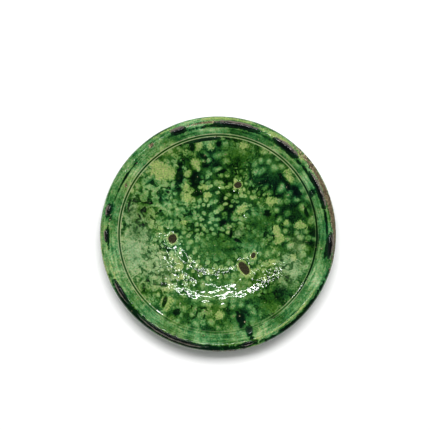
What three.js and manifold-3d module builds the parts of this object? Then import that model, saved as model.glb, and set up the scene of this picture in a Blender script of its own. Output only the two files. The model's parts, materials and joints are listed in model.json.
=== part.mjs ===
// A wide glazed earthenware plate, thrown on the wheel, in millimetres.
// +Z is up, and the origin is the middle of the foot's standing face.
// The thrown dish, the foot, the two coats of glaze, the pools of thick dark glaze and
// the crumbs of clay left by the kiln spurs are separate solids that lie on each other.
import * as THREE from "three";
import { mergeVertices } from "three/addons/utils/BufferGeometryUtils.js";
import Module from "manifold-3d";

// ---- driving sizes -------------------------------------------------------------------
const lipRadius = 124; // the clay's widest point
const lipWidth = 6.8; // crest to widest point, seen from above
const lipDrop = 4.2; // how far the widest point lies below the crest
const lipThickness = 6.5;
const underLipDrop = 5.2; // widest point down to where the outer wall begins
const flangeWidth = 11; // straight band between the incised line and the crest
const flangeRise = 4.5;
const wellDepth = 19; // incised line to the middle of the floor
const wellRoundness = 0.35; // share of the depth that rises evenly; the rest rises near the line
const floorThickness = 7;
const footHeight = 7;
const footRadius = 60;
const footWidth = 11;
const footTaper = 2; // the foot narrows by this much towards the table
const wallBelly = 1.5; // how far the outer wall bulges below a straight line
const grooveWidth = 3;
const grooveDepth = 0.6;
const glazeThickness = 0.8;
const bondGap = 0.1; // between the clay and the glaze, so that the solids stay apart
const coatGap = 0.3; // along the lip, between the face coat and the back coat
const seatGap = 0.15; // under a pool of glaze
const glazeLine = 9; // the back coat stops this far outside the foot
const scarThickness = 1.1;
const scarGap = 0.3; // between a crumb of clay and the coat around it

const crestRadius = lipRadius - lipWidth;
const lineRadius = crestRadius - flangeWidth;
const floorTop = footHeight + floorThickness;
const lineHeight = floorTop + wellDepth;
const crestHeight = lineHeight + flangeRise;

// ---- facets --------------------------------------------------------------------------
const turnSteps = 56; // round the plate
const wellSteps = 11;
const lipSteps = 4;
const wallSteps = 8;
const beadSides = 16; // round a pool of glaze
const beadRings = 8;
const ovalSteps = 9; // a quarter of a crumb's outline

// Pools of thick dark glaze: compass angle of the middle and span round the plate, in
// degrees, then the middle's distance from the crest or the incised line, the width, and
// the height of the bead.
const rimPools = [
  { name: "rim_pool_top", angle: 80, span: 25.4, offset: 0, width: 6.4, height: 1.5 },
  { name: "rim_pool_top_left", angle: 111, span: 8.8, offset: 0, width: 6.6, height: 1.5 },
  { name: "rim_pool_top_right", angle: 52, span: 17.6, offset: -0.6, width: 7.4, height: 1.6 },
  { name: "rim_pool_right_upper", angle: 24, span: 22.6, offset: -0.8, width: 5, height: 1.5 },
  { name: "rim_pool_right", angle: -6, span: 14.5, offset: 1.6, width: 7, height: 1.5 },
  { name: "rim_pool_left_drop", angle: 168, span: 6.3, offset: 1, width: 6.4, height: 1.7 },
  { name: "rim_pool_left", angle: 181, span: 7.3, offset: 0.6, width: 4.4, height: 1.3 },
  { name: "rim_pool_lower_left", angle: 211, span: 15.5, offset: 1.4, width: 5, height: 1.5 },
  { name: "rim_pool_bottom_left", angle: 245, span: 42.3, offset: 2, width: 4.6, height: 1.4 },
  { name: "rim_pool_bottom", angle: 285, span: 7.2, offset: 2, width: 4.4, height: 1.3 },
];
const groovePools = [
  { name: "groove_pool_top", angle: 98, span: 21.3, offset: -4.2, width: 5, height: 1.3 },
  { name: "groove_pool_right", angle: 23, span: 4.3, offset: 1.4, width: 7.4, height: 1.3 },
  { name: "groove_run_bottom", angle: -72, span: 4.8, offset: 2.6, width: 14, height: 1.2 },
];
// Clay left on the face by the spurs that carried the next plate in the kiln.
const spurScars = [
  { name: "spur_scar_top", x: 21.5, y: 52.5, length: 8.6, width: 7.6, turn: 20 },
  { name: "spur_scar_left", x: -49, y: -5.5, length: 11.4, width: 10, turn: 80 },
  { name: "spur_scar_bottom", x: 28, y: -37, length: 17, width: 10, turn: -55 },
  { name: "spur_scar_small", x: 38, y: -23.5, length: 7.6, width: 6, turn: 60 },
];
// Where the lip was wiped bare, on its outer edge.
const bareLip = { angle: 22, span: 34.8, offset: 1, width: 6.5, height: 5 };

const mergeDistance = 1e-4;
const wasm = await Module();
wasm.setup();

// ---- solids --------------------------------------------------------------------------
// A closed geometry as a solid for joining and cutting.
function solidOf(geometry) {
  const bare = geometry.index ? geometry.toNonIndexed() : geometry.clone();
  bare.deleteAttribute("normal");
  bare.deleteAttribute("uv");
  const merged = mergeVertices(bare, mergeDistance);
  return new wasm.Manifold(
    new wasm.Mesh({
      numProp: 3,
      vertProperties: merged.attributes.position.array,
      triVerts: new Uint32Array(merged.index.array),
    }),
  );
}

function geometryOf(solid) {
  const { vertProperties, triVerts } = solid.getMesh();
  const geometry = new THREE.BufferGeometry();
  geometry.setAttribute("position", new THREE.BufferAttribute(vertProperties, 3));
  geometry.setIndex(new THREE.BufferAttribute(triVerts, 1));
  return geometry;
}

// Turns a profile of (radius, height) points about Z.
function turned(profile) {
  const geometry = new THREE.LatheGeometry(profile, turnSteps);
  return geometry.rotateX(Math.PI / 2);
}

// ---- profiles ------------------------------------------------------------------------
// Height of the thrown well at a radius: flat in the middle, steep under the incised line.
function wellHeight(radius) {
  const t = radius / lineRadius;
  return floorTop + wellDepth * (wellRoundness * t ** 2 + (1 - wellRoundness) * t ** 4);
}

// The clay's upper side, from the axis out to the widest point of the lip.
function faceProfile() {
  const wellEdge = lineRadius - grooveWidth;
  const points = [];
  for (let i = 0; i <= wellSteps; i++) {
    const radius = (wellEdge * i) / wellSteps;
    points.push(new THREE.Vector2(radius, wellHeight(radius)));
  }
  const lineSlope = (lineHeight - wellHeight(wellEdge)) / grooveWidth;
  const grooveRadius = lineRadius - grooveWidth / 2;
  const grooveHeight = lineHeight - (lineSlope * grooveWidth) / 2 - grooveDepth;
  points.push(new THREE.Vector2(grooveRadius, grooveHeight));
  points.push(new THREE.Vector2(lineRadius, lineHeight));
  const lip = new THREE.QuadraticBezierCurve(
    new THREE.Vector2(crestRadius, crestHeight),
    new THREE.Vector2(lipRadius, crestHeight - lipDrop / 4),
    new THREE.Vector2(lipRadius, crestHeight - lipDrop),
  );
  points.push(...lip.getPoints(lipSteps));
  return points;
}

// The clay's underside, from just under the widest point of the lip in to the foot.
function backProfile() {
  const edge = new THREE.Vector2(lipRadius, crestHeight - lipDrop - coatGap);
  const underLip = new THREE.Vector2(lipRadius - lipThickness, edge.y - underLipDrop);
  const footTop = new THREE.Vector2(footRadius, footHeight);
  const roll = new THREE.QuadraticBezierCurve(
    edge,
    new THREE.Vector2(lipRadius, edge.y - underLipDrop * 0.8),
    underLip,
  );
  const belly = new THREE.Vector2().addVectors(underLip, footTop).multiplyScalar(0.5);
  belly.y -= wallBelly;
  const wall = new THREE.QuadraticBezierCurve(underLip, belly, footTop);
  return [...roll.getPoints(lipSteps), ...wall.getPoints(wallSteps).slice(1)];
}

// Moves each point of a profile out along the profile's own normal. A profile runs with
// the clay on its right, and points on the axis stay on it.
function offset(profile, distance) {
  return profile.map((point, i) => {
    const before = profile[Math.max(i - 1, 0)];
    const after = profile[Math.min(i + 1, profile.length - 1)];
    const along = new THREE.Vector2().subVectors(after, before).normalize();
    const onAxis = point.x < mergeDistance;
    return new THREE.Vector2(
      onAxis ? 0 : point.x - along.y * distance,
      point.y + (onAxis ? 1 : along.x) * distance,
    );
  });
}

const face = faceProfile();
const back = backProfile();
const contour = [...face, ...back];

// A skin between two distances from a stretch of the clay's surface.
function skin(from, to, start, end) {
  const inner = offset(contour, from).slice(start, end);
  const outer = offset(contour, to).slice(start, end);
  const loop = [...inner, ...outer.reverse()];
  if (start > 0) loop.push(loop[0].clone());
  return solidOf(turned(loop));
}

// ---- pieces --------------------------------------------------------------------------
function clayBody() {
  const profile = [...contour, new THREE.Vector2(0, footHeight)].reverse();
  return solidOf(turned(profile));
}

// A ring of clay turned to a slight taper, standing on the table.
function footRing() {
  const innerTop = footRadius - footWidth;
  const profile = [
    new THREE.Vector2(innerTop, footHeight),
    new THREE.Vector2(innerTop + footTaper, 0),
    new THREE.Vector2(footRadius - footTaper, 0),
    new THREE.Vector2(footRadius, footHeight),
    new THREE.Vector2(innerTop, footHeight),
  ];
  return solidOf(turned(profile));
}

// An ellipsoid bent round the plate's axis, its middle at a radius and height.
function bentBead(radius, height, { angle, span, width, height: rise }) {
  const bead = new THREE.SphereGeometry(1, beadSides, beadRings);
  const place = bead.attributes.position;
  for (let i = 0; i < place.count; i++) {
    const turn = THREE.MathUtils.degToRad(angle + (place.getY(i) * span) / 2);
    const out = radius + (place.getX(i) * width) / 2;
    const up = height + place.getZ(i) * rise;
    place.setXYZ(i, Math.cos(turn) * out, Math.sin(turn) * out, up);
  }
  return solidOf(bead);
}

// Height of the coat's surface above a radius on the face.
function coatHeight(radius) {
  const surface = offset(face, bondGap + glazeThickness);
  const i = surface.findIndex((point) => point.x >= radius);
  const [low, high] = [surface[i - 1], surface[i]];
  return THREE.MathUtils.mapLinear(radius, low.x, high.x, low.y, high.y);
}

// A pool lies on the coat: a bead with everything below the coat cut away.
function glazePool(pool, baseRadius) {
  const radius = baseRadius + pool.offset;
  const bead = bentBead(radius, coatHeight(radius), pool);
  return bead.subtract(coatedPlate);
}

function ovalPrism({ x, y, length, width, turn }, margin) {
  const oval = new THREE.Shape();
  oval.absellipse(x, y, length / 2 + margin, width / 2 + margin, 0, 2 * Math.PI, false,
    THREE.MathUtils.degToRad(turn));
  const prism = new THREE.ExtrudeGeometry(oval, {
    depth: crestHeight,
    bevelEnabled: false,
    curveSegments: ovalSteps,
  });
  return solidOf(prism);
}

function spurScar(scar) {
  const layer = skin(bondGap, bondGap + scarThickness, 0, face.length);
  return layer.intersect(ovalPrism(scar, 0));
}

const coatedPlate = solidOf(
  turned([
    new THREE.Vector2(0, footHeight),
    ...offset(contour, bondGap + glazeThickness + seatGap).reverse(),
  ]),
);
const wipedLip = bentBead(lipRadius + bareLip.offset, crestHeight - lipDrop, bareLip);

function faceGlaze() {
  let coat = skin(bondGap, bondGap + glazeThickness, 0, face.length);
  for (const scar of spurScars) coat = coat.subtract(ovalPrism(scar, scarGap));
  return coat.subtract(wipedLip);
}

// The back coat starts under the lip, just clear of the face coat, and stops above the foot.
function backGlaze() {
  const start = face.length;
  const end = start + back.findIndex((point) => point.x < footRadius + glazeLine);
  return skin(bondGap, bondGap + glazeThickness, start, end).subtract(wipedLip);
}

// ---- assembly ------------------------------------------------------------------------
const clay = new THREE.MeshStandardMaterial({ color: 0x7a5a40, roughness: 0.9 });
const greenGlaze = new THREE.MeshStandardMaterial({ color: 0x4a6f3b, roughness: 0.15 });
const darkGlaze = new THREE.MeshStandardMaterial({ color: 0x10201a, roughness: 0.12 });
const spurClay = new THREE.MeshStandardMaterial({ color: 0x46382a, roughness: 0.95 });

const plate = new THREE.Group();
plate.name = "plate";

function add(name, solid, material) {
  const mesh = new THREE.Mesh(geometryOf(solid), material);
  mesh.name = name;
  plate.add(mesh);
}

add("clay_body", clayBody(), clay);
add("foot_ring", footRing(), clay);
add("face_glaze", faceGlaze(), greenGlaze);
add("back_glaze", backGlaze(), greenGlaze);
for (const pool of rimPools) add(pool.name, glazePool(pool, crestRadius), darkGlaze);
for (const pool of groovePools) add(pool.name, glazePool(pool, lineRadius), darkGlaze);
for (const scar of spurScars) add(scar.name, spurScar(scar), spurClay);

export default plate;
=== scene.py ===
# A wheel-thrown earthenware plate under a poured copper-green glaze, seen from straight above.
import json
import math
import bpy
import numpy as np
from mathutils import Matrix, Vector, noise

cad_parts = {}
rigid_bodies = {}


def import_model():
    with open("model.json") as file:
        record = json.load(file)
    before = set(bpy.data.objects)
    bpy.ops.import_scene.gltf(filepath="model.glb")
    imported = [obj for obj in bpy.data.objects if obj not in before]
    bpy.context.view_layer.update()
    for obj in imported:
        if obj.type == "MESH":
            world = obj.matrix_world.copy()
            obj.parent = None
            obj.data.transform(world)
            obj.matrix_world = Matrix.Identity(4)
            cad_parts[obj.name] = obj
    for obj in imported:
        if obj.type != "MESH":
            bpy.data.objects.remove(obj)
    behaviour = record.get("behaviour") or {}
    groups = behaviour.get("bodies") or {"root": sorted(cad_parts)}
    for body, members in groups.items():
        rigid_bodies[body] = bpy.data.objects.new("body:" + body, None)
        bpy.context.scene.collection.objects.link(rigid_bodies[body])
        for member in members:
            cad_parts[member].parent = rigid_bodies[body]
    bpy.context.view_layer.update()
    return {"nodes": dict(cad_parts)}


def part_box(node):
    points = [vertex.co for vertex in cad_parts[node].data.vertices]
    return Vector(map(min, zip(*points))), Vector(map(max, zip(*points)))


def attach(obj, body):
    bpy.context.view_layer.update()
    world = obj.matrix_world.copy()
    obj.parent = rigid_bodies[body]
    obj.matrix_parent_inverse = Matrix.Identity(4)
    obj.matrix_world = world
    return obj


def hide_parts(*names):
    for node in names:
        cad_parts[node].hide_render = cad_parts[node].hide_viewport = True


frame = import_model()
mm = 0.001


def smooth(low, high, value):
    t = np.clip((value - low) / (high - low), 0, 1)
    return t * t * (3 - 2 * t)


# Lowest and highest corner of a part of the frame, in millimetres.
def corners(node):
    return [np.array(corner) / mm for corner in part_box(node)]


clayLow, clayHigh = corners("clay_body")
footHigh = corners("foot_ring")[1]

dish = {
    "lipWidth": 6.8,          # crest to widest point, seen from above
    "lipDrop": 4.2,           # widest point below the crest
    "lipThickness": 6.5,
    "underLipDrop": 5.2,      # widest point down to where the wall begins
    "flangeWidth": 11.0,
    "flangeRise": 4.5,
    "wellDepth": 19.0,
    "wellRoundness": 0.35,
    "wallBelly": 1.5,
    "glazeLine": 9.0,         # the back coat stops this far outside the foot
    "step": 0.25,             # distance between the points of the worked-out profile
    "rounding": 2.2,          # corners are rounded over about this length
}
lipRadius = clayHigh[0]
crestHeight = clayHigh[2]
footHeight = clayLow[2]
footRadius = footHigh[0]
crestRadius = lipRadius - dish["lipWidth"]
lineRadius = crestRadius - dish["flangeWidth"]
lineHeight = crestHeight - dish["flangeRise"]
floorTop = lineHeight - dish["wellDepth"]


def bend(start, middle, end, count=60):
    t = np.linspace(0, 1, count)[:, None]
    return (1 - t) ** 2 * np.array(start) + 2 * t * (1 - t) * np.array(middle) + t ** 2 * np.array(end)


# The clay's outline from the middle of the well, over the lip and back to the middle of the
# base, as points (radius, height) at even steps, and how far along it its features lie.
def clayOutline():
    t = np.linspace(0, 1, 400)
    roundness = dish["wellRoundness"]
    wellHeight = floorTop + dish["wellDepth"] * (roundness * t ** 2 + (1 - roundness) * t ** 4)
    well = np.column_stack([t * lineRadius, wellHeight])
    crest = (crestRadius, crestHeight)
    edge = (lipRadius, crestHeight - dish["lipDrop"])
    under = (lipRadius - dish["lipThickness"], edge[1] - dish["underLipDrop"])
    foot = (footRadius, footHeight)
    belly = ((under[0] + foot[0]) / 2, (under[1] + foot[1]) / 2 - dish["wallBelly"])
    pieces = [
        well,
        np.array([crest]),
        bend(crest, (lipRadius, crestHeight - dish["lipDrop"] / 4), edge)[1:],
        bend(edge, (lipRadius, edge[1] - dish["underLipDrop"] * 0.8), under)[1:],
        bend(under, belly, foot, 200)[1:],
        np.array([(0.0, footHeight)]),
    ]
    points = np.vstack(pieces)
    length = np.concatenate([[0], np.cumsum(np.linalg.norm(np.diff(points, axis=0), axis=1))])
    ends = np.cumsum([len(piece) for piece in pieces]) - 1
    even = np.arange(0, length[-1], dish["step"])
    line = np.column_stack([np.interp(even, length, points[:, i]) for i in (0, 1)])
    return even, runningMean(line), length[ends]


# Rounds the corners of a line, or of its slopes.
def runningMean(line):
    half = int(dish["rounding"] / dish["step"] / 2)
    kernel = np.ones(2 * half + 1) / (2 * half + 1)
    # the line runs on past its two ends as straight as it came
    before = 2 * line[0] - line[half:0:-1]
    after = 2 * line[-1] - line[-2:-half - 2:-1]
    long = np.vstack([before, line, after])
    return np.column_stack([np.convolve(long[:, i], kernel, "valid") for i in (0, 1)])


outlineLength, outline, featureLengths = clayOutline()
lineLength, crestLength, edgeLength, underLength, _, baseLength = featureLengths
slope = runningMean(np.gradient(outline, axis=0))
slope /= np.linalg.norm(slope, axis=1)[:, None]
outlineNormal = np.column_stack([-slope[:, 1], slope[:, 0]])  # out of the clay


# Radius, height and normal of the clay's surface at distances along its outline.
def onOutline(length):
    pick = [np.interp(length, outlineLength, column) for column in (*outline.T, *outlineNormal.T)]
    pick[2] = np.where(np.asarray(length) < 1, 0, pick[2])
    return pick


# Joins rings of points into one skin. Each ring has as many points as the last, twice or
# half as many, and the first and last rings may be a single point.
def skinRings(name, rings, marks=None):
    points = np.vstack(rings)
    starts = np.concatenate([[0], np.cumsum([len(ring) for ring in rings])])
    faces = []
    for i in range(len(rings) - 1):
        a, b = starts[i], starts[i + 1]
        m, n = len(rings[i]), len(rings[i + 1])
        if m == 1:
            faces += [(a, b + k, b + (k + 1) % n) for k in range(n)]
        elif n == 1:
            faces += [(a + k, b, a + (k + 1) % m) for k in range(m)]
        elif m == n:
            faces += [(a + k, b + k, b + (k + 1) % n, a + (k + 1) % m) for k in range(m)]
        elif n == 2 * m:
            for k in range(m):
                following, between, last = a + (k + 1) % m, b + 2 * k + 1, b + (2 * k + 2) % n
                faces += [(a + k, b + 2 * k, between), (a + k, between, following),
                          (following, between, last)]
        else:
            for k in range(n):
                following, between, last = b + (k + 1) % n, a + 2 * k + 1, a + (2 * k + 2) % m
                faces += [(b + k, between, a + 2 * k), (b + k, following, between),
                          (following, last, between)]
    mesh = bpy.data.meshes.new(name)
    mesh.from_pydata((points * mm).tolist(), [], faces)
    for mark, values in (marks or {}).items():
        layer = mesh.attributes.new(mark, "FLOAT", "POINT")
        layer.data.foreach_set("value", np.concatenate(values).astype(np.float32))
    mesh.shade_smooth()
    piece = bpy.data.objects.new(name, mesh)
    bpy.context.scene.collection.objects.link(piece)
    return piece


# Points at azimuths round the plate.
def ringAt(azimuth, radius, height):
    return np.column_stack([radius * np.cos(azimuth), radius * np.sin(azimuth), height])


def evenAzimuths(count):
    return np.arange(count) * 2 * math.pi / count


# Noise for each of a row of points.
def wandering(points):
    return np.array([noise.noise(Vector(point)) for point in points])


skinPlan = {
    "pole": 0.05,        # a ring narrower than this is one point, mm
    "closest": 0.36,     # points in a ring closer than this are thinned out
    "fewest": 90,
}


# Rings round the plate at distances along the outline, raised off the clay by film(azimuth,
# length). More points go into a ring the wider it is.
def turnedRings(lengths, film, around):
    rings = []
    for length in lengths:
        radius, height, outR, outZ = (float(value) for value in onOutline(length))
        if radius < skinPlan["pole"]:
            rings.append(np.array([[0, 0, height + outZ * float(np.mean(film(np.zeros(1), length)))]]))
            continue
        count = around
        while count > skinPlan["fewest"] and 2 * math.pi * radius / count < skinPlan["closest"]:
            count //= 2
        azimuth = evenAzimuths(count)
        rise = film(azimuth, length)
        reach = radius + outR * rise
        rings.append(ringAt(azimuth, reach, height + outZ * rise))
    return rings


# Each mark is an oval: x, y, length, width in millimetres, turn in degrees. A mask is 1 in
# the middle of an oval, 0.5 on its outline and 0 at twice its size.
def ovalMask(x, y, ovals):
    mask = np.zeros_like(x)
    for ox, oy, length, width, turn in ovals:
        angle = math.radians(turn)
        along = ((x - ox) * math.cos(angle) + (y - oy) * math.sin(angle)) / (length / 2)
        across = ((y - oy) * math.cos(angle) - (x - ox) * math.sin(angle)) / (width / 2)
        mask = np.maximum(mask, 1 - np.hypot(along, across) / 2)
    return mask


# The same for marks that follow the rim: azimuth and span in degrees, distance of the
# middle along the outline from the crest, and width.
def rimMask(azimuth, length, marks):
    mask = np.zeros_like(azimuth)
    for middle, span, offset, width in marks:
        apart = (np.degrees(azimuth) - middle + 180) % 360 - 180
        across = (length - crestLength - offset) / (width / 2)
        mask = np.maximum(mask, 1 - np.hypot(apart / (span / 2), across) / 2)
    return mask


glazeMarks = {
    "thick": [  # deep, nearly black green
        (-41.2, 64.0, 30, 8.0, 82), (-24.0, 59.0, 19, 13, 70), (-22.5, 43.0, 12, 8, 40),
        (-27.4, 93.0, 14, 6.0, 95), (1.2, 96.0, 7, 6, 0), (-65.4, 81.0, 8, 4, 40),
        (5.8, 12.8, 13, 7, 60), (14.0, 0.0, 9, 3.5, 80), (20.0, -6.5, 11, 3.5, -30),
        (52.6, 22.0, 9, 7, 0),
        (70.0, 57.0, 17, 6, -50), (84.0, 44.0, 16, 6, -60), (93.5, 24.0, 17, 3.5, -76),
        (33.6, -103.6, 17, 6, 100), (24.0, -91.0, 18, 9, 100), (98.8, 43.6, 8, 7, 0),
        (-16.0, 83.0, 10, 5, -40), (-14.0, 74.0, 7, 6, 0), (3.5, 66.5, 8, 4, 20),
        (-57.0, -73.0, 12, 4, 75), (-44.0, -83.5, 9, 6, 20), (-57.5, -54.0, 7, 5, 0),
        (-53.5, 45.0, 4, 3, 0), (-71.0, 33.0, 4, 3, 0), (-62.0, 24.5, 4, 3, 30),
        (-94.5, 31.0, 11, 2.6, 74), (14.5, 24.0, 7, 5, 30),
    ],
    "pale": [  # thin, yellow-green
        (-58.0, 66.0, 33, 15, -14), (-66.5, 73.5, 17, 9, -30),
        (62.8, 4.2, 10, 9, 0), (66.0, -5.4, 12, 9, 80), (26.2, 26.4, 13, 9, 40),
        (57.0, 35.0, 11, 9, 0), (-15.4, 49.6, 11, 7, 0), (-10.8, 41.4, 8, 6, 10),
        (-33.6, 49.4, 9, 9, 0), (-32.2, 64.0, 9, 8, 0), (-29.6, 40.6, 17, 10, 15),
        (-20.4, 95.0, 14, 9, 70), (-8.6, 92.6, 9, 8, 0), (-23.0, 75.0, 9, 13, 20),
        (-54.1, -57.0, 12, 11, 0), (-54.5, -73.5, 15, 12, 70), (1.0, -86.3, 9, 9, 0),
        (81.0, -24.8, 8, 7, 0), (57.6, -31.4, 8, 7, 20), (88.0, 9.6, 13, 9, 0),
        (75.6, 61.2, 15, 9, -60), (27.5, 94.2, 10, 6, -10), (-40.0, -46.0, 8, 7, 0),
        (-42.0, -34.0, 12, 7, 80), (-37.0, 12.0, 6, 5, 0), (72.0, 12.0, 8, 5, 50),
    ],
    "softSheenPatch": [  # painted soft sheen: lighter, greyer patches where broad light reflects in the glaze
        (-86.0, -12.0, 66, 30, 86), (-66.0, -34.0, 50, 34, -60), (76.0, -38.0, 36, 26, 60),
        (-92.0, 20.0, 30, 12, 80), (84.0, -12.0, 22, 14, 80), (22.0, 1.0, 11, 9, 30),
    ],
    "calm": [  # smooth, with few spots
        (2.0, -16.0, 52, 26, 0), (16.0, -60.0, 72, 24, 4), (-90.0, -14.0, 60, 20, 86),
        (24.0, 84.0, 32, 20, -20), (45.0, 14.0, 26, 26, 0), (22.0, 2.0, 16, 14, 0),
        (62.0, -66.0, 50, 24, 40), (24.0, -94.0, 40, 14, 10), (36.0, -8.0, 30, 20, 0),
    ],
    "wide": [  # spots large and far apart
        (84.0, 8.0, 150, 72, 90), (-10.0, -84.0, 140, 60, 0), (2.0, 84.0, 84, 36, 0),
        (60.0, 66.0, 72, 50, -35),
    ],
    "deep": [  # broad darker ground
        (2.0, 18.0, 56, 44, 10), (62.0, 48.0, 80, 56, -50), (46.0, 10.0, 44, 50, 0),
        (-8.0, 76.0, 60, 30, 0), (78.0, 8.0, 40, 60, 90), (58.0, -74.0, 56, 30, 38),
        (24.0, -86.0, 34, 18, 0), (-84.0, 14.0, 40, 16, 80), (-18.0, 58.0, 46, 36, 0),
        (3.0, -4.0, 50, 40, 0),
    ],
    "maze": [  # dark worms in a lighter ground
        (-72.0, 34.0, 66, 40, 70), (-62.0, -14.0, 44, 36, 80), (-38.0, 20.0, 22, 30, 0),
        (-20.0, -84.0, 30, 16, 0), (-72.0, -44.0, 40, 26, -50), (72.0, -36.0, 30, 26, 50),
    ],
    "wrinkled": [  # thin ridges that catch the light
        (-56.0, -24.0, 64, 34, -62), (-40.0, -44.0, 36, 22, -30), (62.0, -42.0, 40, 16, 30),
        (-16.0, -36.0, 50, 26, -16),
    ],
}
# On the rim: azimuth, span, distance outwards from the crest, width.
rimMarks = {
    "deep": [(70, 30, -8, 6), (98, 30, -12, 6)],
    "thick": [
        (98, 26, -16.0, 4), (84, 40, -2.6, 3.5), (110, 12, -2.6, 3.5), (50, 22, -3.6, 4),
        (26, 36, -3.2, 3), (8, 20, -2.2, 2.5), (-8, 14, -2.0, 3), (168, 8, 0, 7),
        # (226, 44, 3.6, 8), (257, 56, 3.6, 7.4) and (-45, 50, 5.0, 4.5) lie on the outside of the lip at the
        # bottom of the plate, which turns away from the light: partly dark glaze and partly painted shade.
        (226, 44, 3.6, 8), (257, 56, 3.6, 7.4), (284, 18, 3.2, 5), (-45, 50, 5.0, 4.5),
        (181, 12, -1.2, 3), (148, 22, -2.4, 2.5),
    ],
    "pale": [
        (57, 20, 2.6, 6), (86, 34, 5.0, 2.5), (44, 8, 3.2, 5), (118, 12, 4.8, 2),
        # The marks at offset 0.2, (240, 110, 0.2, 1.8) and (-50, 60, 0.2, 1.6), run along the crest at the
        # bottom of the plate: partly thin glaze breaking on the edge and partly a painted highlight of the
        # crest.
        (250, 60, 7.4, 2.5), (196, 30, 6.4, 2), (240, 110, 0.2, 1.8), (-50, 60, 0.2, 1.6),
    ],
    "bare": [
        (20, 46, 5.4, 6.0), (-4, 22, 7.2, 3.0), (275, 26, 8.0, 2.4),
        (97, 12, 1.2, 1.8), (126.7, 2.6, 0.4, 3.4), (152, 2.2, -7.4, 2.6), (113, 4, 2.4, 1.6),
    ],
}
bareEdge = (0.42, 0.62)    # the coats thin out to the clay between these values of the bare mask


scarNodes = [node for node in frame["nodes"] if node.startswith("spur_scar")]


# Oval of a crumb of spur clay, from its own part of the frame: x, y, length, width, turn.
def scarOval(node):
    points = np.array([vertex.co[:2] for vertex in frame["nodes"][node].data.vertices]) / mm
    middle = (points.min(0) + points.max(0)) / 2
    reach = np.hypot(*(points - middle).T)
    far = points[np.argmax(reach)] - middle
    turn = math.atan2(far[1], far[0])
    across = np.abs((points - middle) @ np.array([-math.sin(turn), math.cos(turn)]))
    return middle[0], middle[1], 2 * reach.max(), 2 * across.max(), math.degrees(turn)


scarOvals = {node: scarOval(node) for node in scarNodes}


# How far the coats' pattern is carried outwards where the lip turns down, so that it runs
# on round the lip and back along the wall without being drawn out.
def unrolledBy(radius, length):
    turned = np.clip(length, crestLength, underLength) - crestLength
    lipShare = np.clip((length - crestLength) / (underLength - crestLength), 0, 1)
    home = np.where(lipShare < 1, radius, onOutline(underLength)[0])
    return np.where(lipShare > 0, crestRadius + turned - home, 0.0)


# Every mask for points of a ring round the plate.
def glazeMasks(x, y, azimuth, length):
    masks = {kind: ovalMask(x, y, glazeMarks[kind]) for kind in glazeMarks}
    onFace = length < edgeLength + 2
    for kind in masks:
        masks[kind] *= onFace
    for kind, marks in rimMarks.items():
        onRim = rimMask(azimuth, length, marks)
        masks[kind] = np.maximum(masks.get(kind, np.zeros_like(x)), onRim)
    # on the flange the glaze lies smooth
    flange = smooth(lineLength - 1, lineLength + 3, length) * onFace
    masks["calm"] = np.maximum(masks["calm"], 0.9 * flange)
    # thin yellow glaze drew back in a ring round each crumb of spur clay
    crumbs = ovalMask(x, y, list(scarOvals.values())) * onFace
    masks["pale"] = np.maximum(masks["pale"], 0.72 * smooth(0.28, 0.42, crumbs))
    return masks


# Adds one node. A setting is a property; an input is a value or another node's output.
def addNode(tree, kind, settings=None, inputs=None, output=0):
    node = tree.nodes.new(kind)
    for key, value in (settings or {}).items():
        setattr(node, key, value)
    for key, value in (inputs or {}).items():
        if isinstance(value, bpy.types.NodeSocket):
            tree.links.new(value, node.inputs[key])
        else:
            node.inputs[key].default_value = value
    return node.outputs[output] if len(node.outputs) else node


# Settings that many nodes share.
plus, minus = {"operation": "ADD"}, {"operation": "SUBTRACT"}
times, over = {"operation": "MULTIPLY"}, {"operation": "DIVIDE"}
timesPlus = {"operation": "MULTIPLY_ADD"}
larger, absolute = {"operation": "MAXIMUM"}, {"operation": "ABSOLUTE"}
lengthOf, directionOf, scaled = {"operation": "LENGTH"}, {"operation": "NORMALIZE"}, {"operation": "SCALE"}
smoothly = {"interpolation_type": "SMOOTHSTEP"}
unclamped = {"clamp": False}
inPlane = {"noise_dimensions": "2D"}
ofValues, ofColours = {"data_type": "FLOAT"}, {"data_type": "RGBA"}
noiseMiddle = (0.5, 0.5, 0.5)

spots = {
    # name: middle to middle of the cells left by bubbles in mm, the reach of the smallest
    # and the largest spot as a share of the cell, and how much of a spot is flat
    "close": (6.6, 0.3, 0.54, 0.5),
    "wide": (10.2, 0.34, 0.52, 0.05),
    "stretchSize": 55,   # over this length the cells grow and shrink, mm
    "stretch": 18.0,
    "warpSize": 8.0,     # how the rows of cells wander
    "warp": 2.6,
    "disorder": 0.8,     # 0 puts the cells in even rows
    "edge": 1.25,        # where a spot has faded out, as a share of its reach
}


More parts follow.
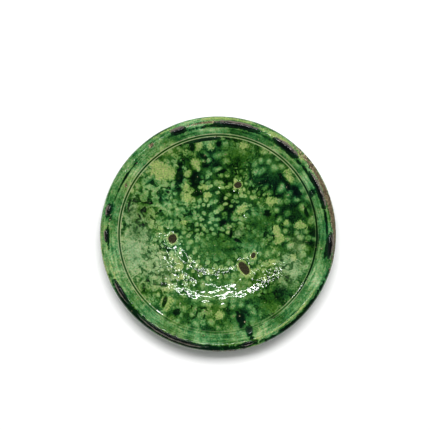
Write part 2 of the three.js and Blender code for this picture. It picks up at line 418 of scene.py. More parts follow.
# Round spots left where bubbles broke in the glaze: 1 in a spot and 0 in the network between.
# flat is a place on the plate in millimetres; wide is 1 where the spots are large and far
# apart. Returns the spots, how far each point is from the middle of its cell, and each
# cell's own chance values.
def bubbleSpots(tree, flat, wide):
    moved = flat
    for size, amount in ((spots["stretchSize"], spots["stretch"]), (spots["warpSize"], spots["warp"])):
        drift = addNode(tree, "ShaderNodeTexNoise", inPlane,
                        {"Vector": flat, "Scale": 1 / size, "Detail": 1.0}, "Color")
        centred = addNode(tree, "ShaderNodeVectorMath", minus, {0: drift, 1: noiseMiddle})
        moved = addNode(tree, "ShaderNodeVectorMath", timesPlus, {0: centred, 1: (amount,) * 3, 2: moved})
    found = []
    for kind in ("close", "wide"):
        size, small, large, flatShare = spots[kind]
        distance = addNode(tree, "ShaderNodeTexVoronoi", {"voronoi_dimensions": "2D"},
                           {"Vector": moved, "Scale": 1 / size, "Randomness": spots["disorder"]}, "Distance")
        chance = distance.node.outputs["Color"]
        first = addNode(tree, "ShaderNodeSeparateXYZ", {}, {0: chance}, "X")
        reach = addNode(tree, "ShaderNodeMapRange", {}, {"Value": first, "To Min": small, "To Max": large})
        share = addNode(tree, "ShaderNodeMath", over, {0: distance, 1: reach})
        spot = addNode(tree, "ShaderNodeMapRange", smoothly,
                       {"Value": share, "From Min": spots["edge"], "From Max": flatShare})
        found.append((spot, share, chance))
    (closeSpot, closeShare, closeChance), (wideSpot, wideShare, wideChance) = found
    spot = addNode(tree, "ShaderNodeMix", ofValues, {"Factor": wide, "A": closeSpot, "B": wideSpot})
    share = addNode(tree, "ShaderNodeMix", ofValues, {"Factor": wide, "A": closeShare, "B": wideShare})
    chance = addNode(tree, "ShaderNodeMix", {"data_type": "VECTOR"},
                     {"Factor": wide, 4: closeChance, 5: wideChance}, 1)
    return spot, share, addNode(tree, "ShaderNodeSeparateXYZ", {}, {0: chance}).node


thrown = {
    "driftScale": 0.014,     # per mm: how quickly the rings wander round the plate
    "ringDrift": 16.0,       # how far they wander, mm
    "fineDrift": 30.0,
    "ringFloor": 0.06,       # what is left of the rings outside their reach
    "fineFloor": 0.25,
    "dimpleCalm": 0.12,      # what is left of a dimple where the glaze ran smooth
    "wrinkleScale": 0.18,    # per mm
    "wrinkleWidth": 0.1,
    "bowScale": 1.1,
    "bowPower": 3.0,         # the rim bows more the further out
    "bowHeight": 4.0,        # mm at the lip, before Rim wobble
}


# A Geometry Nodes tree that gives a turned skin the marks of its making: throwing rings,
# a rim that isn't quite true, slow swellings in the glaze and the dimples of its spots.
# It moves a point along its normal by as much as the point's "skin" mark says.
def makeThrownForm():
    tree = bpy.data.node_groups.new("thrownForm", "GeometryNodeTree")
    sizes = [
        ("Ring height", 0.0), ("Ring spacing", 10.0), ("Ring middle", 62.0), ("Ring reach", 30.0),
        ("Fine ring height", 0.0), ("Fine ring spacing", 4.0),
        ("Swell height", 0.0), ("Swell size", 14.0), ("Grain height", 0.0), ("Grain size", 3.0),
        ("Spot depth", 0.0), ("Wrinkle height", 0.0), ("Rim wobble", 0.5), ("Seed", 0.0),
    ]
    tree.interface.new_socket("Geometry", in_out="INPUT", socket_type="NodeSocketGeometry")
    for name, value in sizes:
        socket = tree.interface.new_socket(name, in_out="INPUT", socket_type="NodeSocketFloat")
        socket.default_value = value
    tree.interface.new_socket("Material", in_out="INPUT", socket_type="NodeSocketMaterial")
    tree.interface.new_socket("Geometry", in_out="OUTPUT", socket_type="NodeSocketGeometry")
    given = tree.nodes.new("NodeGroupInput").outputs
    skin, calm, wide, unrolled, wrinkled = (
        addNode(tree, "GeometryNodeInputNamedAttribute", ofValues, {"Name": name})
        for name in ("skin", "calm", "wide", "unrolled", "wrinkled"))

    place = addNode(tree, "GeometryNodeInputPosition")
    flat = addNode(tree, "ShaderNodeVectorMath", times, {0: place, 1: (1 / mm, 1 / mm, 0)})
    radius = addNode(tree, "ShaderNodeVectorMath", lengthOf, {0: flat}, "Value")
    bearing = addNode(tree, "ShaderNodeVectorMath", directionOf, {0: flat})
    solid = addNode(tree, "ShaderNodeVectorMath", scaled, {0: place, "Scale": 1 / mm})

    # throwing rings: a wave along the radius that drifts and fades round the plate, and
    # finer rings between them, left by the fingertips
    drift = addNode(tree, "ShaderNodeTexNoise", {"noise_dimensions": "3D"},
                    {"Vector": solid, "Scale": thrown["driftScale"], "Detail": 1.0})
    centred = addNode(tree, "ShaderNodeMath", minus, {0: drift, 1: 0.5})
    apart = addNode(tree, "ShaderNodeMath", minus, {0: radius, 1: given["Ring middle"]})
    away = addNode(tree, "ShaderNodeMath", absolute, {0: apart})
    window = addNode(tree, "ShaderNodeMapRange", smoothly,
                     {"Value": away, "From Min": given["Ring reach"], "From Max": 0.0,
                      "To Min": thrown["ringFloor"]})
    fineWindow = addNode(tree, "ShaderNodeMath", larger, {0: window, 1: thrown["fineFloor"]})
    total = 0.0
    for kind, start, wander, fade in (("Ring", apart, thrown["ringDrift"], window),
                                      ("Fine ring", radius, thrown["fineDrift"], fineWindow)):
        shifted = addNode(tree, "ShaderNodeMath", timesPlus, {0: centred, 1: wander, 2: start})
        turns = addNode(tree, "ShaderNodeMath", over, {0: shifted, 1: given[kind + " spacing"]})
        phase = addNode(tree, "ShaderNodeMath", times, {0: turns, 1: 2 * math.pi})
        wave = addNode(tree, "ShaderNodeMath", {"operation": "SINE"}, {0: phase})
        ringed = addNode(tree, "ShaderNodeMath", times, {0: wave, 1: fade})
        total = addNode(tree, "ShaderNodeMath", timesPlus, {0: ringed, 1: given[kind + " height"], 2: total})

    # slow swellings and a finer unevenness
    for kind, detail in (("Swell", 2.0), ("Grain", 1.0)):
        scale = addNode(tree, "ShaderNodeMath", over, {0: 1.0, 1: given[kind + " size"]})
        lump = addNode(tree, "ShaderNodeTexNoise", {"noise_dimensions": "4D"},
                       {"Vector": solid, "W": given["Seed"], "Scale": scale, "Detail": detail})
        level = addNode(tree, "ShaderNodeMapRange", {},
                        {"Value": lump, "From Min": 0.3, "From Max": 0.7, "To Min": -1.0, "To Max": 1.0})
        total = addNode(tree, "ShaderNodeMath", timesPlus, {0: level, 1: given[kind + " height"], 2: total})

    # dimples, shallower where the glaze ran smooth
    apart = addNode(tree, "ShaderNodeMapRange", smoothly, {"Value": wide, "From Min": 0.4, "From Max": 0.6})
    carried = addNode(tree, "ShaderNodeVectorMath", scaled, {0: bearing, "Scale": unrolled})
    spread = addNode(tree, "ShaderNodeVectorMath", plus, {0: flat, 1: carried})
    spot = bubbleSpots(tree, spread, apart)[0]
    quiet = addNode(tree, "ShaderNodeMapRange", smoothly,
                    {"Value": calm, "From Min": 0.35, "From Max": 0.65, "To Min": -1.0,
                     "To Max": -thrown["dimpleCalm"]})
    depth = addNode(tree, "ShaderNodeMath", times, {0: quiet, 1: given["Spot depth"]})
    total = addNode(tree, "ShaderNodeMath", timesPlus, {0: spot, 1: depth, 2: total})

    # wrinkles: thin ridges where the glaze stiffened as it crept
    crease = addNode(tree, "ShaderNodeTexNoise", inPlane,
                     {"Vector": flat, "Scale": thrown["wrinkleScale"], "Detail": 1.5, "Roughness": 0.5})
    level = addNode(tree, "ShaderNodeMath", minus, {0: crease, 1: 0.5})
    fold = addNode(tree, "ShaderNodeMath", absolute, {0: level})
    ridge = addNode(tree, "ShaderNodeMapRange", smoothly,
                    {"Value": fold, "From Min": thrown["wrinkleWidth"], "From Max": 0.0})
    where = addNode(tree, "ShaderNodeMapRange", smoothly,
                    {"Value": wrinkled, "From Min": 0.2, "From Max": 0.7})
    crest = addNode(tree, "ShaderNodeMath", times, {0: ridge, 1: where})
    total = addNode(tree, "ShaderNodeMath", timesPlus, {0: crest, 1: given["Wrinkle height"], 2: total})
    amount = addNode(tree, "ShaderNodeMath", times, {0: total, 1: skin})
    metres = addNode(tree, "ShaderNodeMath", times, {0: amount, 1: mm})
    normal = addNode(tree, "GeometryNodeInputNormal")
    push = addNode(tree, "ShaderNodeVectorMath", scaled, {0: normal, "Scale": metres})

    # the rim dips and bows slowly round the plate
    slow = addNode(tree, "ShaderNodeTexNoise", {"noise_dimensions": "3D"},
                   {"Vector": bearing, "Scale": thrown["bowScale"], "Detail": 0.0}, "Color")
    bow = addNode(tree, "ShaderNodeVectorMath", minus, {0: slow, 1: noiseMiddle})
    outwards = addNode(tree, "ShaderNodeMath", over, {0: radius, 1: lipRadius})
    growing = addNode(tree, "ShaderNodeMath", {"operation": "POWER"}, {0: outwards, 1: thrown["bowPower"]})
    share = addNode(tree, "ShaderNodeMath", times, {0: growing, 1: given["Rim wobble"]})
    reach = addNode(tree, "ShaderNodeMath", times, {0: share, 1: thrown["bowHeight"] * mm})
    wobble = addNode(tree, "ShaderNodeVectorMath", scaled, {0: bow, "Scale": reach})
    move = addNode(tree, "ShaderNodeVectorMath", plus, {0: push, 1: wobble})

    moved = addNode(tree, "GeometryNodeSetPosition", {}, {"Geometry": given["Geometry"], "Offset": move})
    real = addNode(tree, "GeometryNodeRealizeInstances", {}, {"Geometry": moved})
    covered = addNode(tree, "GeometryNodeSetMaterial", {}, {"Geometry": real, "Material": given["Material"]})
    addNode(tree, "NodeGroupOutput", {}, {"Geometry": covered})
    return tree


thrownForm = makeThrownForm()


# Runs the thrown form on a piece, keeps the result as a plain mesh and puts the piece in
# place of the frame's nodes.
def fire(piece, sizes, material, nodes):
    modifier = piece.modifiers.new("thrownForm", "NODES")
    modifier.node_group = thrownForm
    sockets = {item.name: item.identifier for item in thrownForm.interface.items_tree
               if item.in_out == "INPUT"}
    for name, value in {**sizes, "Material": material}.items():
        modifier[sockets[name]] = value
    evaluated = piece.evaluated_get(bpy.context.evaluated_depsgraph_get())
    mesh = bpy.data.meshes.new_from_object(evaluated)
    piece.modifiers.remove(modifier)
    piece.data = mesh
    mesh.name = piece.name
    mesh.shade_smooth()
    if not mesh.materials:
        mesh.materials.append(material)
    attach(piece, "root")
    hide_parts(*nodes)
    return piece


# sRGB hex to the linear colour that a socket takes.
def colour(code):
    channels = [int(code[i:i + 2], 16) / 255 for i in (1, 3, 5)]
    return tuple(c / 12.92 if c <= 0.04045 else ((c + 0.055) / 1.055) ** 2.4 for c in channels) + (1,)


# A material with its shader, and the place on the piece in millimetres.
def startMaterial(name, surface):
    material = bpy.data.materials.new(name)
    material.use_nodes = True
    tree = material.node_tree
    tree.nodes.clear()
    shader = tree.nodes.new("ShaderNodeBsdfPrincipled")
    for key, value in surface.items():
        shader.inputs[key].default_value = value
    output = tree.nodes.new("ShaderNodeOutputMaterial")
    tree.links.new(shader.outputs[0], output.inputs["Surface"])
    where = addNode(tree, "ShaderNodeTexCoord", output="Object")
    solid = addNode(tree, "ShaderNodeVectorMath", scaled, {0: where, "Scale": 1 / mm})
    return material, tree, shader, solid


# Adds a colour ramp with these stops, read at the value.
def addRamp(tree, value, stops):
    colours = addNode(tree, "ShaderNodeValToRGB", {}, {"Fac": value})
    ramp = colours.node.color_ramp
    while len(ramp.elements) < len(stops):
        ramp.elements.new(0.5)
    for element, (position, code) in zip(ramp.elements, stops):
        element.position = position
        element.color = colour(code)
    return colours


# Lead-glazed earthenware coloured with copper. The glaze is a clear green glass over a pale
# body: yellow-green where it is thin, nearly black where it lies deep, with a wet gloss.
# Depths run from 0, deep, to 1, thin.
copperGlaze = {
    "surface": {"IOR": 1.52},
    "gloss": (0.02, 0.06, 0.8),   # roughness where deep, where thin and on the bare body
    "warm": [(0.0, "#040f06"), (0.12, "#0c2709"), (0.27, "#204710"), (0.42, "#39601f"),
             (0.56, "#547637"), (0.7, "#73904c"), (0.85, "#9aaa62"), (1.0, "#b9b98c")],
    "cool": [(0.0, "#050f0d"), (0.12, "#092514"), (0.27, "#144121"), (0.42, "#265f31"),
             (0.56, "#437b48"), (0.7, "#699863"), (0.85, "#97b182"), (1.0, "#bec2a8")],
    "line": "#a3a382",            # thin glaze over slip on the shoulders of the incised line
    "fleck": "#8c7a60",
    "softSheen": "#93a082",            # painted soft sheen: the greyish reflection of broad light
    "bareBody": [(0.2, "#1f1b13"), (0.42, "#4d4430"), (0.6, "#756a4f"), (0.85, "#ada482")],
    "gritSize": 2.2,
    "cloudSize": 42.0,            # broad changes of depth, mm
    "blotchSize": 12.0,
    "mazeSize": 6.4,              # dark worm-like pools between raised threads
    "speckSize": 1.8,
    "fleckSize": 1.5,             # brown flecks in the thin places
    "hueSize": 34.0,
    "cloud": (0.42, 0.6),
    "blotch": 0.12,
    "speck": 0.085,
    "deepGround": -0.17,          # what broad dark ground adds to the depth value
    "streak": (-0.12, 0.22),      # streaks along the flange
    "web": -0.2,                  # the network between the spots
    "worm": (-0.34, 0.05),        # dark worms and the ground between them
    "thread": -0.3,               # dark threads round spots where the glaze crept
    "thin": (0.66, 0.88),         # how thin the glaze is in spots and pale patches
    "sunk": (0.22, -0.06),        # factor and shift of the depth in the dark pools
    "calmSpots": 0.18,            # what is seen of the spots where the glaze ran smooth
    "mazedSpots": 0.3,
    "softSheenLightens": 0.14,
    "softSheenShare": (0.05, 0.32),    # share of the milk colour where deep and where thin
    "lineMiddle": 1.5,            # the incised line's middle, inside the flange, mm
    "lineThin": 0.8,              # depth values on the line's shoulders and in its cut
    "lineDeep": (0.02, 0.2),
}


# Turns a mask into an area with a ragged, soft edge.
def softEdge(tree, mask, ragged, width, level=0.5):
    uneven = addNode(tree, "ShaderNodeMath", plus, {0: mask, 1: ragged})
    return addNode(tree, "ShaderNodeMapRange", smoothly,
                   {"Value": uneven, "From Min": level - width, "From Max": level + width})


# Noise in the plane of the plate, spread over the range given.
def unevenness(tree, flat, size, low, high, detail=2.0, distortion=0.0):
    value = addNode(tree, "ShaderNodeTexNoise", inPlane,
                    {"Vector": flat, "Scale": 1 / size, "Detail": detail, "Distortion": distortion})
    return addNode(tree, "ShaderNodeMapRange", unclamped,
                   {"Value": value, "From Min": 0.3, "From Max": 0.7, "To Min": low, "To Max": high})


def makeCopperGlaze():
    plan = copperGlaze
    material, tree, shader, solid = startMaterial("copperGreenLeadGlaze", plan["surface"])
    marks = {kind: addNode(tree, "ShaderNodeAttribute", {"attribute_name": kind}, output="Fac")
             for kind in ("bare", "lined", "unrolled", *glazeMarks)}
    plane = addNode(tree, "ShaderNodeVectorMath", times, {0: solid, 1: (1, 1, 0)})
    radius = addNode(tree, "ShaderNodeVectorMath", lengthOf, {0: plane}, "Value")
    bearing = addNode(tree, "ShaderNodeVectorMath", directionOf, {0: plane})
    carried = addNode(tree, "ShaderNodeVectorMath", scaled, {0: bearing, "Scale": marks["unrolled"]})
    flat = addNode(tree, "ShaderNodeVectorMath", plus, {0: plane, 1: carried})

    speck = unevenness(tree, flat, plan["speckSize"], -1.0, 1.0, 3.0)
    fine = addNode(tree, "ShaderNodeMath", times, {0: speck, 1: plan["speck"]})
    torn = unevenness(tree, flat, plan["blotchSize"] / 2, -0.17, 0.17, 2.0, 0.8)
    ragged = addNode(tree, "ShaderNodeMath", plus, {0: torn, 1: fine})
    calm = softEdge(tree, marks["calm"], ragged, 0.2)
    # where the painted soft sheen lies
    softSheen = softEdge(tree, marks["softSheenPatch"], ragged, 0.3)
    mazed = softEdge(tree, marks["maze"], ragged, 0.25)
    crept = softEdge(tree, marks["wrinkled"], ragged, 0.2)
    pale = softEdge(tree, marks["pale"], ragged, 0.2)
    thick = softEdge(tree, marks["thick"], ragged, 0.2)

    # broad and small changes of depth
    cloud = unevenness(tree, flat, plan["cloudSize"], *plan["cloud"], 1.0)
    blotch = unevenness(tree, flat, plan["blotchSize"], -plan["blotch"], plan["blotch"], 3.0, 0.6)
    depth = addNode(tree, "ShaderNodeMath", plus, {0: cloud, 1: blotch})
    depth = addNode(tree, "ShaderNodeMath", plus, {0: depth, 1: fine})
    ground = addNode(tree, "ShaderNodeMapRange", smoothly,
                     {"Value": marks["deep"], "From Min": 0.1, "From Max": 0.8,
                      "To Max": plan["deepGround"]})
    depth = addNode(tree, "ShaderNodeMath", plus, {0: depth, 1: ground})
    # streaks that follow the flange
    outwards = addNode(tree, "ShaderNodeMath", plus, {0: radius, 1: marks["unrolled"]})
    outwards = addNode(tree, "ShaderNodeMath", times, {0: outwards, 1: 0.5})
    apart = addNode(tree, "ShaderNodeCombineXYZ", {}, {"Z": outwards})
    along = addNode(tree, "ShaderNodeVectorMath", timesPlus, {0: bearing, 1: (5, 5, 5), 2: apart})
    streak = addNode(tree, "ShaderNodeTexNoise", {}, {"Vector": along, "Scale": 1.0, "Detail": 3.0})
    low, high = plan["streak"]
    streak = addNode(tree, "ShaderNodeMapRange", unclamped,
                     {"Value": streak, "From Min": 0.3, "From Max": 0.7, "To Min": low, "To Max": high})
    onFlange = addNode(tree, "ShaderNodeMapRange", {},
                       {"Value": radius, "From Min": lineRadius - 2, "From Max": lineRadius + 1})
    depth = addNode(tree, "ShaderNodeMath", timesPlus, {0: streak, 1: onFlange, 2: depth})
    # painted soft sheen: the patches are painted lighter
    depth = addNode(tree, "ShaderNodeMath", timesPlus, {0: softSheen, 1: plan["softSheenLightens"], 2: depth})

    # bubble spots: thin in the spot, deep in the network, fainter where the glaze ran smooth
    apart = softEdge(tree, marks["wide"], ragged, 0.12)
    spot, share, cell = bubbleSpots(tree, flat, apart)
    # some spots have a dark middle where the bubble filled again
    heart = addNode(tree, "ShaderNodeMapRange", smoothly,
                    {"Value": share, "From Min": 0.5, "From Max": 0.15, "To Max": 0.55})
    some = addNode(tree, "ShaderNodeMath", {"operation": "LESS_THAN"}, {0: cell.outputs["Z"], 1: 0.2})
    filled = addNode(tree, "ShaderNodeMath", times, {0: heart, 1: some})
    spot = addNode(tree, "ShaderNodeMath", minus, {0: spot, 1: filled})
    vivid = addNode(tree, "ShaderNodeMapRange", {}, {"Value": cell.outputs["Y"], "To Min": 0.45})
    shown = addNode(tree, "ShaderNodeMapRange", {},
                    {"Value": calm, "To Min": 1.0, "To Max": plan["calmSpots"]})
    clear = addNode(tree, "ShaderNodeMapRange", {},
                    {"Value": mazed, "To Min": 1.0, "To Max": plan["mazedSpots"]})
    shown = addNode(tree, "ShaderNodeMath", times, {0: shown, 1: clear})
    web = addNode(tree, "ShaderNodeMapRange", {}, {"Value": spot, "To Min": plan["web"], "To Max": 0.0})
    depth = addNode(tree, "ShaderNodeMath", timesPlus, {0: web, 1: shown, 2: depth})
    low, high = plan["thin"]
    thin = addNode(tree, "ShaderNodeMapRange", {},
                   {"Value": speck, "From Min": -1.0, "To Min": low, "To Max": high})
    opened = addNode(tree, "ShaderNodeMath", times, {0: spot, 1: vivid})
    nearly = addNode(tree, "ShaderNodeMath", times, {0: shown, 1: 0.95})
    opened = addNode(tree, "ShaderNodeMath", times, {0: opened, 1: nearly})
    depth = addNode(tree, "ShaderNodeMix", ofValues, {"Factor": opened, "A": depth, "B": thin})
    # in places the network breaks up into short dark worms in a lighter ground
    pit = addNode(tree, "ShaderNodeTexNoise", inPlane,
                  {"Vector": flat, "Scale": 1 / plan["mazeSize"], "Detail": 1.5, "Distortion": 0.5})
    low, high = plan["worm"]
    worm = addNode(tree, "ShaderNodeMapRange", smoothly,
                   {"Value": pit, "From Min": 0.38, "From Max": 0.5, "To Min": low, "To Max": high})
    depth = addNode(tree, "ShaderNodeMath", timesPlus, {0: worm, 1: mazed, 2: depth})
    # where the glaze crept, a dark thread runs round each spot
    rim = addNode(tree, "ShaderNodeMath", minus, {0: share, 1: 0.95})
    rim = addNode(tree, "ShaderNodeMath", absolute, {0: rim})
    thread = addNode(tree, "ShaderNodeMapRange", smoothly,
                     {"Value": rim, "From Min": 0.2, "From Max": 0.0, "To Max": plan["thread"]})
    depth = addNode(tree, "ShaderNodeMath", timesPlus, {0: thread, 1: crept, 2: depth})

    # thin patches and deep streaks
    thinned = addNode(tree, "ShaderNodeMath", times, {0: pale, 1: 0.85})
    depth = addNode(tree, "ShaderNodeMix", ofValues, {"Factor": thinned, "A": depth, "B": thin})
    factor, shift = plan["sunk"]
    sunk = addNode(tree, "ShaderNodeMath", timesPlus, {0: depth, 1: factor, 2: shift})
    depth = addNode(tree, "ShaderNodeMix", ofValues, {"Factor": thick, "A": depth, "B": sunk})

    # the incised line: thin glaze on its two shoulders and deep glaze in the cut; to the right
    # of the plate the line is dark, nearest the viewer it is nearly filled
    off = addNode(tree, "ShaderNodeMath", minus, {0: radius, 1: lineRadius - plan["lineMiddle"]})
    off = addNode(tree, "ShaderNodeMath", absolute, {0: off})
    shoulder = addNode(tree, "ShaderNodeMapRange", smoothly,
                       {"Value": off, "From Min": 2.0, "From Max": 1.35, "To Max": 0.85})
    shoulder = addNode(tree, "ShaderNodeMath", times, {0: shoulder, 1: marks["lined"]})
    facing = addNode(tree, "ShaderNodeSeparateXYZ", {}, {0: bearing}).node.outputs
    kept = addNode(tree, "ShaderNodeMapRange", smoothly,
                   {"Value": facing["Y"], "From Min": -0.9, "From Max": -0.55, "To Min": 0.25})
    clear = addNode(tree, "ShaderNodeMapRange", smoothly,
                    {"Value": facing["X"], "From Min": 0.98, "From Max": 0.7, "To Min": 0.2})
    seen = addNode(tree, "ShaderNodeMath", times, {0: kept, 1: clear})
    broken = unevenness(tree, flat, plan["cloudSize"] / 2, 0.6, 1.0, 2.0)
    seen = addNode(tree, "ShaderNodeMath", times, {0: seen, 1: broken})
    seen = addNode(tree, "ShaderNodeMath", times, {0: shoulder, 1: seen})
    depth = addNode(tree, "ShaderNodeMix", ofValues, {"Factor": seen, "A": depth, "B": plan["lineThin"]})
    cut = addNode(tree, "ShaderNodeMapRange", smoothly,
                  {"Value": off, "From Min": 1.25, "From Max": 0.5, "To Max": 0.95})
    cut = addNode(tree, "ShaderNodeMath", times, {0: cut, 1: kept})
    cut = addNode(tree, "ShaderNodeMath", times, {0: cut, 1: marks["lined"]})
    low, high = plan["lineDeep"]
    dark = addNode(tree, "ShaderNodeMapRange", {}, {"Value": clear, "To Min": low, "To Max": high})
    depth = addNode(tree, "ShaderNodeMix", ofValues, {"Factor": cut, "A": depth, "B": dark})

    # the green: bluer in clouds and on the flange, yellower in the pale patches
    broadHue = unevenness(tree, flat, plan["hueSize"], 0.05, 0.75, 2.0)
    smallHue = unevenness(tree, flat, 3.2, -0.2, 0.2, 2.0)
    hue = addNode(tree, "ShaderNodeMath", plus, {0: broadHue, 1: smallHue})
    flangeHue = addNode(tree, "ShaderNodeMath", times, {0: onFlange, 1: 0.3})
    tint = addNode(tree, "ShaderNodeMath", plus, {0: hue, 1: flangeHue})
    tint = addNode(tree, "ShaderNodeMath", {**timesPlus, "use_clamp": True}, {0: pale, 1: -0.5, 2: tint})
    warm = addRamp(tree, depth, plan["warm"])
    cool = addRamp(tree, depth, plan["cool"])
    green = addNode(tree, "ShaderNodeMix", ofColours, {"Factor": tint, "A": warm, "B": cool}, 2)
    # brown flecks, the painted soft sheen, and cream on the shoulders of the line
    fleck = unevenness(tree, flat, plan["fleckSize"], 0.0, 1.0, 2.0)
    fleck = addNode(tree, "ShaderNodeMapRange", smoothly,
                    {"Value": fleck, "From Min": 0.62, "From Max": 0.95})
    clearing = addNode(tree, "ShaderNodeMapRange", {},
                       {"Value": depth, "From Min": 0.35, "From Max": 0.75, "To Max": 0.75})
    flecked = addNode(tree, "ShaderNodeMath", times, {0: fleck, 1: clearing})
    low, high = plan["softSheenShare"]
    # painted soft sheen: more of its grey where the glaze is thin
    sheenByDepth = addNode(tree, "ShaderNodeMapRange", {},
                   {"Value": depth, "From Min": 0.3, "From Max": 0.75, "To Min": low, "To Max": high})
    softSheenAmount = addNode(tree, "ShaderNodeMath", times, {0: softSheen, 1: sheenByDepth})
    creamy = addNode(tree, "ShaderNodeMath", minus, {0: seen, 1: cut})
    creamy = addNode(tree, "ShaderNodeMath", times, {0: creamy, 1: 0.75})
    creamy = addNode(tree, "ShaderNodeClamp", {}, {"Value": creamy})
    for part, kind in ((flecked, "fleck"), (softSheenAmount, "softSheen"), (creamy, "line")):
        green = addNode(tree, "ShaderNodeMix", ofColours,
                        {"Factor": part, "A": green, "B": colour(plan[kind])}, 2)

    # brown where the film breaks on the body, and a pinhole in some of the spots
    breaking = addNode(tree, "ShaderNodeMath", timesPlus, {0: speck, 1: 0.14, 2: marks["bare"]})
    worn = softEdge(tree, breaking, ragged, 0.1, 0.42)
    grit = unevenness(tree, flat, plan["gritSize"], 0.0, 1.0, 3.0)
    gritty = addRamp(tree, grit, plan["bareBody"])
    pin = addNode(tree, "ShaderNodeMapRange", {},
                  {"Value": share, "From Min": 0.24, "From Max": 0.12, "To Max": 0.7})
    chosen = addNode(tree, "ShaderNodeMath", {"operation": "GREATER_THAN"}, {0: cell.outputs["Z"], 1: 0.74})
    pinholes = addNode(tree, "ShaderNodeMath", times, {0: pin, 1: chosen})
    bare = addNode(tree, "ShaderNodeMath", larger, {0: worn, 1: pinholes})
    green = addNode(tree, "ShaderNodeMix", ofColours, {"Factor": bare, "A": green, "B": gritty}, 2)
    tree.links.new(green, shader.inputs["Base Color"])

    # gloss: wet where deep, a little duller where thin, and so in the painted sheen patches too
    wet, dull, dry = plan["gloss"]
    gloss = addNode(tree, "ShaderNodeMapRange", {},
                    {"Value": depth, "From Min": 0.1, "From Max": 1.0, "To Min": wet, "To Max": dull})
    gloss = addNode(tree, "ShaderNodeMix", ofValues, {"Factor": worn, "A": gloss, "B": dry})
    tree.links.new(gloss, shader.inputs["Roughness"])
    ripple = addNode(tree, "ShaderNodeTexNoise", {}, {"Vector": solid, "Scale": 0.5, "Detail": 2.0})
    bump = addNode(tree, "ShaderNodeBump", {}, {"Strength": 0.5, "Distance": 0.01 * mm, "Height": ripple})
    tree.links.new(bump, shader.inputs["Normal"])
    return material


# Glaze that ran together along the rim and stood up in beads: bottle-black glass, with a
# painted grey sheen on its outer side that stands in for the light reflected there.
pooledCopper = {
    "surface": {"Roughness": 0.22, "IOR": 1.54},
    "body": [(0.0, "#163a1c"), (0.2, "#0d2515"), (0.45, "#080f0d"), (1.0, "#050a0a")],
    # painted sheen: grey colour for the reflection on the beads' outer side
    "paintedSheen": "#6b645a",
    "paintedSheenShare": 0.85,
}


def makePooledGlaze():
    plan = pooledCopper
    material, tree, shader, solid = startMaterial("pooledCopperGlaze", plan["surface"])
    middle, outer = (addNode(tree, "ShaderNodeAttribute", {"attribute_name": mark}, output="Fac")
                     for mark in ("middle", "outer"))
    cloud = addNode(tree, "ShaderNodeTexNoise", {}, {"Vector": solid, "Scale": 0.4, "Detail": 3.0})
    depth = addNode(tree, "ShaderNodeMapRange", {},
                    {"Value": cloud, "From Min": 0.3, "From Max": 0.7, "To Min": -0.12, "To Max": 0.12})
    depth = addNode(tree, "ShaderNodeMath", plus, {0: depth, 1: middle})
    body = addRamp(tree, depth, plan["body"])
    # painted sheen: a grey reflection laid on the outer side of each bead, broken up by the cloud
    side = addNode(tree, "ShaderNodeMath", timesPlus, {0: cloud, 1: 1.2, 2: outer})
    paintedSheen = addNode(tree, "ShaderNodeMapRange", smoothly,
                     {"Value": side, "From Min": 0.75, "From Max": 1.15, "To Max": plan["paintedSheenShare"]})
    shade = addNode(tree, "ShaderNodeMix", ofColours,
                    {"Factor": paintedSheen, "A": body, "B": colour(plan["paintedSheen"])}, 2)
    tree.links.new(shade, shader.inputs["Base Color"])
    bump = addNode(tree, "ShaderNodeBump", {}, {"Strength": 0.4, "Distance": 0.1 * mm, "Height": cloud})
    tree.links.new(bump, shader.inputs["Normal"])
    return material


# Bare fired earthenware: dry brown clay with grit.
earthenware = {
    "surface": {"Roughness": 0.88, "IOR": 1.45},
    "body": [(0.32, "#1f1a12"), (0.44, "#463c2b"), (0.55, "#685d45"), (0.68, "#978c6e")],
    "grit": "#2b241c",
    "gritShare": 0.7,
}


def makeBareClay():
    plan = earthenware
    material, tree, shader, solid = startMaterial("bareEarthenware", plan["surface"])
    cloud = addNode(tree, "ShaderNodeTexNoise", {},
                    {"Vector": solid, "Scale": 0.4, "Detail": 6.0, "Roughness": 0.9})
    grit = addNode(tree, "ShaderNodeTexVoronoi", {}, {"Vector": solid, "Scale": 0.55, "Randomness": 1.0})
    body = addRamp(tree, cloud, plan["body"])
    speck = addNode(tree, "ShaderNodeMapRange", {},
                    {"Value": grit, "From Min": 0.24, "From Max": 0.1, "To Max": plan["gritShare"]})
    shade = addNode(tree, "ShaderNodeMix", ofColours,
                    {"Factor": speck, "A": body, "B": colour(plan["grit"])}, 2)
    tree.links.new(shade, shader.inputs["Base Color"])
    rough = addNode(tree, "ShaderNodeTexNoise", {}, {"Vector": solid, "Scale": 1.2, "Detail": 5.0})
    bump = addNode(tree, "ShaderNodeBump", {}, {"Strength": 0.6, "Distance": 0.25 * mm, "Height": rough})
    tree.links.new(bump, shader.inputs["Normal"])
    return material


# Crumbs of the coarse clay that the kiln spurs were made of: burnt, gritty and quite matt.
burntClay = {
    "surface": {"Roughness": 0.95, "IOR": 1.4},
    "body": [(0.3, "#16160d"), (0.5, "#2b2a1a"), (0.66, "#393623"), (0.85, "#4b4730")],
}


def makeSpurClay():
    plan = burntClay
    material, tree, shader, solid = startMaterial("burntSpurClay", plan["surface"])
    grit = addNode(tree, "ShaderNodeTexNoise", {}, {"Vector": solid, "Scale": 0.9, "Detail": 5.0})
    body = addRamp(tree, grit, plan["body"])
    tree.links.new(body, shader.inputs["Base Color"])
    bump = addNode(tree, "ShaderNodeBump", {}, {"Strength": 0.8, "Distance": 0.4 * mm, "Height": grit})
    tree.links.new(bump, shader.inputs["Normal"])
    return material


copperGreen = makeCopperGlaze()
pooledGlaze = makePooledGlaze()
bareClay = makeBareClay()
spurClay = makeSpurClay()
print("materials ready")

